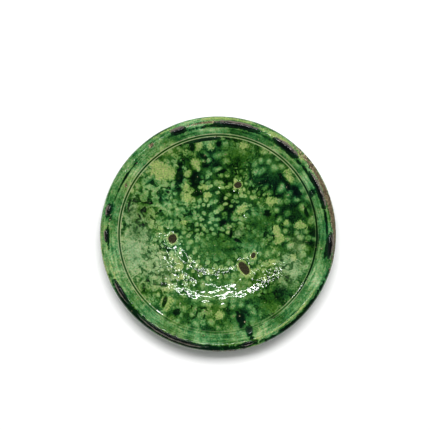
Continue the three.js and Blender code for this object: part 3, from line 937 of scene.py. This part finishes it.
groove = {
    "shift": -1.3,       # from the corner of the flange, mm
    "width": 0.8,
    "depth": 0.4,
    "apart": 2.0,        # the shoulders' distance from the middle of the cut
    "shoulder": 0.12,
    "shoulderWidth": 0.9,
    "filled": 0.85,      # share of the relief that the glaze hides nearest the viewer
    "nearest": (-0.84, -0.97),   # sine of the azimuth where that begins and where it is full
}


# Height that the incised line takes off the coat, and the shoulders it raises. Glaze
# filled the line nearest the viewer.
def grooveRelief(azimuth, length):
    off = length - (lineLength + groove["shift"])
    cut = math.exp(-(off / groove["width"]) ** 2) * groove["depth"]
    raised = math.exp(-((abs(off) - groove["apart"]) / groove["shoulderWidth"]) ** 2) * groove["shoulder"]
    return (raised - cut) * (1 - groove["filled"] * smooth(*groove["nearest"], np.sin(azimuth)))


faceCoat = {
    "around": 720,
    "spacing": 0.82,
    "underside": 12.0,    # spacing on the hidden side, mm
    "thickness": 0.9,
    "bond": 0.1,          # between the clay and the coat
    "overlap": 1.6,       # past the lip's widest point
    "bareCut": 0.35,      # how far below the clay the coat is cut back where the lip is bare
    "crumbRim": 0.35,     # the coat stands up round a crumb of spur clay and ends at it
    "crumbCut": 0.9,
}


# The coat runs thin and ends where the lip was wiped bare, and leaves room for the crumbs.
def coatFilm(azimuth, length):
    plan = faceCoat
    radius = float(onOutline(length)[0])
    x, y = radius * np.cos(azimuth), radius * np.sin(azimuth)
    film = np.full_like(azimuth, plan["thickness"]) + grooveRelief(azimuth, length) * (length < edgeLength)
    wander = wandering((math.cos(a) * 30, math.sin(a) * 30, length / 5) for a in azimuth)
    bare = rimMask(azimuth, length, rimMarks["bare"]) + 0.1 * wander
    film = film - (plan["thickness"] + plan["bareCut"]) * smooth(*bareEdge, bare)
    if length < lineLength:
        for oval in scarOvals.values():
            mask = ovalMask(x, y, [oval])
            film = film + plan["crumbRim"] * smooth(0.22, 0.46, mask)
            film = film - plan["crumbCut"] * smooth(0.46, 0.6, mask)
    return film


def buildFaceCoat():
    plan = faceCoat
    end = edgeLength + plan["overlap"]
    upper = np.arange(0, end, plan["spacing"])
    inwards = np.arange(lineLength - plan["underside"], plan["underside"] / 2, -plan["underside"])
    lower = np.concatenate([np.linspace(end, lineLength, 9), inwards, [0]])

    def hiddenSide(azimuth, length):
        return coatFilm(azimuth, length) - plan["thickness"] + plan["bond"]

    rings = turnedRings(upper, coatFilm, plan["around"])
    rings += turnedRings(lower, hiddenSide, plan["around"] // 2)
    lengths = np.concatenate([upper, lower])
    marks = {kind: [] for kind in ("skin", "bare", "unrolled", "lined", *glazeMarks)}
    for i, (ring, length) in enumerate(zip(rings, lengths)):
        azimuth = np.arctan2(ring[:, 1], ring[:, 0])
        masks = glazeMasks(ring[:, 0], ring[:, 1], azimuth, np.full(len(ring), length))
        masks["unrolled"] = unrolledBy(np.hypot(ring[:, 0], ring[:, 1]), np.full(len(ring), length))
        masks["lined"] = np.ones(len(ring))
        for kind in masks:
            marks[kind].append(masks[kind])
        skin = smooth(end, end - 1.5, length) * (1 - smooth(0.4, 0.6, masks["bare"]))
        marks["skin"].append(skin if i < len(upper) else np.zeros(len(ring)))
    return skinRings("faceCoat", rings, marks)


faceRelief = {
    "Ring height": 0.29, "Ring spacing": 20.0, "Ring middle": 43.0, "Ring reach": 22.0,
    "Fine ring height": 0.034, "Fine ring spacing": 5.6,
    "Swell height": 0.036, "Swell size": 4.6, "Grain height": 0.012, "Grain size": 2.4,
    "Spot depth": 0.08, "Wrinkle height": 0.08, "Rim wobble": 0.5, "Seed": 3.0,
}
face = fire(buildFaceCoat(), faceRelief, copperGreen, ["face_glaze"])
print("face coat:", len(face.data.polygons), "faces")


backCoat = {
    "around": 360,
    "stations": 62,      # rings from the lip to the foot
    "under": 2.5,        # starts this far under the face coat's edge, mm
    "thickness": 0.75,
    "bond": 0.1,
    "runs": 5.0,
    "rise": 0.35,        # thicker towards its lower edge
}


# How far along the outline the back coat comes down: an uneven edge with a few runs.
def backEnd(azimuth):
    half = len(outline) // 2
    stop = footRadius + dish["glazeLine"]
    line = np.interp(stop, outline[::-1, 0][:half], outlineLength[::-1][:half])
    waves = wandering((math.cos(a) * 2.2, math.sin(a) * 2.2, 4.0) for a in azimuth)
    drips = wandering((math.cos(a) * 9, math.sin(a) * 9, 8.0) for a in azimuth)
    return line + backCoat["runs"] * (0.5 * waves + np.maximum(drips, 0) ** 1.5 * 1.4) - 1.5


def buildBackCoat():
    plan = backCoat
    start = edgeLength - plan["under"]
    stations = np.linspace(0, 1, plan["stations"])
    azimuth = evenAzimuths(plan["around"])
    end = backEnd(azimuth)
    rings, lengths, skins = [], [], []
    for outer in (True, False):
        for share in stations if outer else stations[::-4]:
            length = start + (end - start) * share
            radius, height, outR, outZ = onOutline(length)
            toEnd = (1 - share) * (end - start)
            near = np.minimum(share * (np.mean(end) - start), toEnd)
            full = plan["thickness"] * smooth(-0.4, 1.6, near) + plan["rise"] * smooth(6, 1.5, toEnd)
            bare = smooth(*bareEdge, rimMask(azimuth, length, rimMarks["bare"]))
            film = plan["bond"] + (full if outer else 0) - (plan["thickness"] + 0.4) * bare * (share < 0.3)
            rings.append(ringAt(azimuth, radius + outR * film, height + outZ * film))
            lengths.append(length)
            skins.append(smooth(0, 3, near) * (1 - bare) if outer else np.zeros(len(azimuth)))
    marks = {kind: [] for kind in ("bare", "unrolled", *glazeMarks)}
    for (x, y, _), length in zip((ring.T for ring in rings), lengths):
        masks = glazeMasks(x, y, azimuth, length)
        masks["unrolled"] = unrolledBy(np.hypot(x, y), length)
        for kind in marks:
            marks[kind].append(masks[kind])
    marks["skin"] = skins
    rings.append(rings[0].copy())
    for kind in marks:
        marks[kind].append(marks[kind][0])
    return skinRings("backCoat", rings, marks)


backRelief = {
    "Ring height": 0.22, "Ring spacing": 8.5, "Ring middle": 96.0, "Ring reach": 60.0,
    "Swell height": 0.16, "Swell size": 16.0, "Grain height": 0.05, "Grain size": 4.0,
    "Spot depth": 0.06, "Rim wobble": 0.5, "Seed": 9.0,
}
back = fire(buildBackCoat(), backRelief, copperGreen, ["back_glaze"])
print("back coat:", len(back.data.polygons), "faces")


clayPlan = {"around": 360, "covered": 6.0, "lip": 0.7, "underside": 0.9}   # points, then spacings in mm


def buildClayBody():
    plan = clayPlan
    lengths = np.concatenate([
        np.arange(0, crestLength, plan["covered"]),
        np.arange(crestLength, underLength, plan["lip"]),
        np.arange(underLength, baseLength - 0.5, plan["underside"]),
        [baseLength],
    ])
    rings = turnedRings(lengths, lambda azimuth, length: np.zeros_like(azimuth), plan["around"])
    skins = [np.full(len(ring), float(length > crestLength)) for ring, length in zip(rings, lengths)]
    return skinRings("clayBody", rings, {"skin": skins})


clayRelief = {
    "Ring height": 0.12, "Ring spacing": 2.6, "Ring middle": 40.0, "Ring reach": 90.0,
    "Swell height": 0.08, "Swell size": 14.0, "Grain height": 0.03, "Grain size": 1.6,
    "Rim wobble": 0.5, "Seed": 5.0,
}
clay = fire(buildClayBody(), clayRelief, bareClay, ["clay_body"])
print("clay body:", len(clay.data.polygons), "faces")


footPlan = {
    "width": 11.0,
    "taper": 2.0,
    "round": 1.1,
    "sink": 0.4,         # luted this far into the dish
    "around": 360,
    "section": 42,
}


# The foot ring's section, standing face down, with rounded arrises.
def buildFootRing():
    plan = footPlan
    inner, outer, top = footRadius - plan["width"], footRadius, footHeight + plan["sink"]
    low, high = inner + plan["taper"], outer - plan["taper"]
    rise, run = plan["round"] * 1.3, plan["round"] * 1.4
    outerArris = bend((outer - 0.25, rise), (high, 0), (high - run, 0), 6)
    innerArris = bend((low + run, 0), (low, 0), (inner + 0.25, rise), 6)
    section = np.array([(outer, top), *outerArris, *innerArris, (inner, top)])
    length = np.concatenate([[0], np.cumsum(np.hypot(*np.diff(section, axis=0).T))])
    even = np.linspace(0, length[-1], plan["section"])
    section = np.column_stack([np.interp(even, length, section[:, i]) for i in (0, 1)])
    azimuth = evenAzimuths(plan["around"])
    rings = [ringAt(azimuth, radius, np.full_like(azimuth, height)) for radius, height in section]
    rings.append(rings[0].copy())
    skins = [np.full(len(azimuth), float(0.3 < ring[0, 2] < footHeight - 0.8)) for ring in rings]
    return skinRings("footRing", rings, {"skin": skins})


footRelief = {
    "Ring height": 0.05, "Ring spacing": 1.9, "Ring middle": 55.0, "Ring reach": 30.0,
    "Swell height": 0.12, "Swell size": 12.0, "Grain height": 0.05, "Grain size": 1.8,
    "Rim wobble": 0.0, "Seed": 6.0,
}
foot = fire(buildFootRing(), footRelief, bareClay, ["foot_ring"])
print("foot ring:", len(foot.data.polygons), "faces")


poolPlan = {
    "height": 0.85,      # above the coat, on the lip
    "lineHeight": 0.45,  # on the incised line
    "sink": 0.7,         # into the coat
    "rings": 9,
    "most": 160,         # points in a ring
    "ragged": 0.42,
    "lump": 0.5,
}
beadRelief = {"Swell height": 0.07, "Swell size": 5.0, "Rim wobble": 0.5, "Seed": 12.0}
poolNodes = [node for node in frame["nodes"] if node.startswith(("rim_pool", "groove_"))]


# Share of the way from the middle to the edge for each ring of a closed lump: over its top,
# then back along its underside.
def domeSteps(count):
    out = [(True, share) for share in np.linspace(0, 1, count)]
    return out + [(False, share) for share in np.linspace(1, 0, count)[1:]]


def seedOf(node):
    return sum(ord(letter) for letter in node)


# A bead of pooled glaze that lies on the coat where the frame has it, and follows the lip.
def buildPool(node):
    plan = poolPlan
    onRim = node.startswith("rim_pool")
    tall = plan["height"] if onRim else plan["lineHeight"]
    points = np.array([vertex.co for vertex in frame["nodes"][node].data.vertices]) / mm
    bearing = np.arctan2(points[:, 1], points[:, 0])
    middle = math.atan2(points[:, 1].mean(), points[:, 0].mean())
    turn = (bearing - middle + math.pi) % (2 * math.pi) - math.pi
    reach = np.hypot(points[:, 0], points[:, 1])
    radius = (reach.min() + reach.max()) / 2
    width = reach.max() - reach.min()
    half = (turn.max() - turn.min()) / 2
    middle += (turn.max() + turn.min()) / 2
    faceSide = outlineLength < edgeLength
    home = float(np.interp(radius, outline[faceSide, 0], outlineLength[faceSide]))
    long = half * radius
    count = int(min(max(32, long * 4), plan["most"]))
    seed = seedOf(node)
    rings, middles, outers = [], [], []
    for onTop, share in domeSteps(plan["rings"]):
        theta = evenAzimuths(count)[:None if share else 1]
        u, v = np.cos(theta), np.sin(theta)
        # blunt ends and an outline that wanders
        along = np.sign(u) * np.abs(u) ** 0.8 * long
        edge = 1 + plan["ragged"] * wandering((a / 5 + seed, 3 * b, 0) for a, b in zip(along, v))
        across = v * edge * width / 2 * share
        r, z, outR, outZ = onOutline(home + across)
        lump = wandering((a * share / 7 + seed, 0, 5) for a in along)
        high = tall * (1 - share ** 2) ** 0.7 * (1 + plan["lump"] * lump)
        lift = faceCoat["thickness"] + (high - 0.05 if onTop else -plan["sink"])
        rings.append(ringAt(middle + along * share / radius, r + outR * lift, z + outZ * lift))
        middles.append(np.full(len(theta), (1 - share) * (1 if onRim else 0.4) if onTop else 0.0))
        outers.append(v * share if onTop and onRim else np.full(len(theta), -1.0))
    skins = [np.full(len(ring), float(i < plan["rings"] - 1)) for i, ring in enumerate(rings)]
    return skinRings("pool_" + node, rings, {"skin": skins, "middle": middles, "outer": outers})


for node in poolNodes:
    fire(buildPool(node), beadRelief, pooledGlaze, [node])
print("pools of dark glaze:", len(poolNodes))


crumbPlan = {
    "height": 0.75,      # above the clay
    "sink": 0.9,
    "around": 48,
    "rings": 12,
    "size": 1.16,        # spread of the broken outline
    "ragged": 0.22,
}
crumbRelief = {
    "Grain height": 0.2, "Grain size": 1.3, "Swell height": 0.1, "Swell size": 3.5,
    "Rim wobble": 0.5, "Seed": 20.0,
}


# A crumb of spur clay fused to the well, broken off flat with a ragged outline.
def buildCrumb(node):
    plan = crumbPlan
    x, y, long, wide, turn = scarOvals[node]
    seed, angle, half = seedOf(node), math.radians(turn), len(outline) // 2
    theta = evenAzimuths(plan["around"])
    slow = wandering((math.cos(t) * 1.6 + seed, math.sin(t) * 1.6, 0) for t in theta)
    quick = wandering((math.cos(t) * 5 + seed, math.sin(t) * 5, 2) for t in theta)
    ragged = plan["size"] + plan["ragged"] * (slow + 0.5 * quick)
    rings = []
    for onTop, share in domeSteps(plan["rings"]):
        pick = slice(None) if share else slice(0, 1)
        a = np.cos(theta[pick]) * ragged[pick] * long / 2 * share
        b = np.sin(theta[pick]) * ragged[pick] * wide / 2 * share
        px = x + a * math.cos(angle) - b * math.sin(angle)
        py = y + a * math.sin(angle) + b * math.cos(angle)
        floor = np.interp(np.hypot(px, py), outline[:half, 0], outline[:half, 1])
        rise = plan["height"] * (1 - share ** 6) if onTop else -plan["sink"] * (1 - share ** 4)
        rings.append(np.column_stack([px, py, floor + 0.1 + rise]))
    skins = [np.full(len(ring), float(i < plan["rings"])) for i, ring in enumerate(rings)]
    return skinRings("crumb_" + node, rings, {"skin": skins})


for node in scarNodes:
    fire(buildCrumb(node), crumbRelief, spurClay, [node])
print("crumbs of spur clay:", len(scarNodes))


# A pale table under the plate.
floorMesh = bpy.data.meshes.new("table")
tableReach = 3.0
floorCorners = [(x * tableReach, y * tableReach, 0) for x, y in ((-1, -1), (1, -1), (1, 1), (-1, 1))]
floorMesh.from_pydata(floorCorners, [], [(0, 1, 2, 3)])
table = bpy.data.objects.new("table", floorMesh)
bpy.context.scene.collection.objects.link(table)
paint, _, paintShader, _ = startMaterial("whitePaintedBoard", {"Roughness": 0.9, "IOR": 1.3})
paintShader.inputs["Base Color"].default_value = colour("#f2f2f2")
paintShader.inputs["Specular IOR Level"].default_value = 0.0
floorMesh.materials.append(paint)

worldStrength = 0.12
lights = {
    # name: place, size across, size along, watts, seen in the glaze
    "keySoftbox": ((0.0, 0.43, 1.2), 0.7, 0.36, 17.0, False),
    "keyStrip": ((-0.04, 0.3, 1.2), 0.8, 0.01, 1.8, True),
    "sideStrip": ((0.085, 0.15, 1.2), 0.33, 0.008, 0.85, True),
    "topFill": ((0.0, 0.0, 2.2), 2.4, 2.4, 13.0, False),
}


def setLights():
    for name, (place, width, length, watts, inGlaze) in lights.items():
        lamp = bpy.data.lights.new(name, "AREA")
        lamp.shape = "RECTANGLE"
        lamp.size, lamp.size_y, lamp.energy = width, length, watts
        box = bpy.data.objects.new(name, lamp)
        bpy.context.scene.collection.objects.link(box)
        box.location = place
        box.rotation_euler = (-Vector(place)).to_track_quat("-Z", "Y").to_euler()
        box.visible_glossy = inGlaze
    world = bpy.data.worlds.new("whiteRoom")
    world.use_nodes = True
    backdrop = world.node_tree.nodes["Background"]
    backdrop.inputs["Color"].default_value = colour("#ffffff")
    backdrop.inputs["Strength"].default_value = worldStrength
    bpy.context.scene.world = world
    world.cycles_visibility.glossy = False


setLights()

view = {"lens": 85.0, "sensor": 36.0, "frameWidth": 455.0, "offX": -3.2, "offY": 20.1}   # mm


def setCamera():
    camera = bpy.data.cameras.new("overhead")
    camera.lens, camera.sensor_width = view["lens"], view["sensor"]
    holder = bpy.data.objects.new("overhead", camera)
    bpy.context.scene.collection.objects.link(holder)
    rimHeight = crestHeight - dish["lipDrop"]
    distance = view["frameWidth"] * view["lens"] / view["sensor"]
    holder.location = (view["offX"] * mm, view["offY"] * mm, (rimHeight + distance) * mm)
    bpy.context.scene.camera = holder
    bpy.context.scene.view_settings.view_transform = "Standard"


setCamera()
print("stage, lights and camera ready")
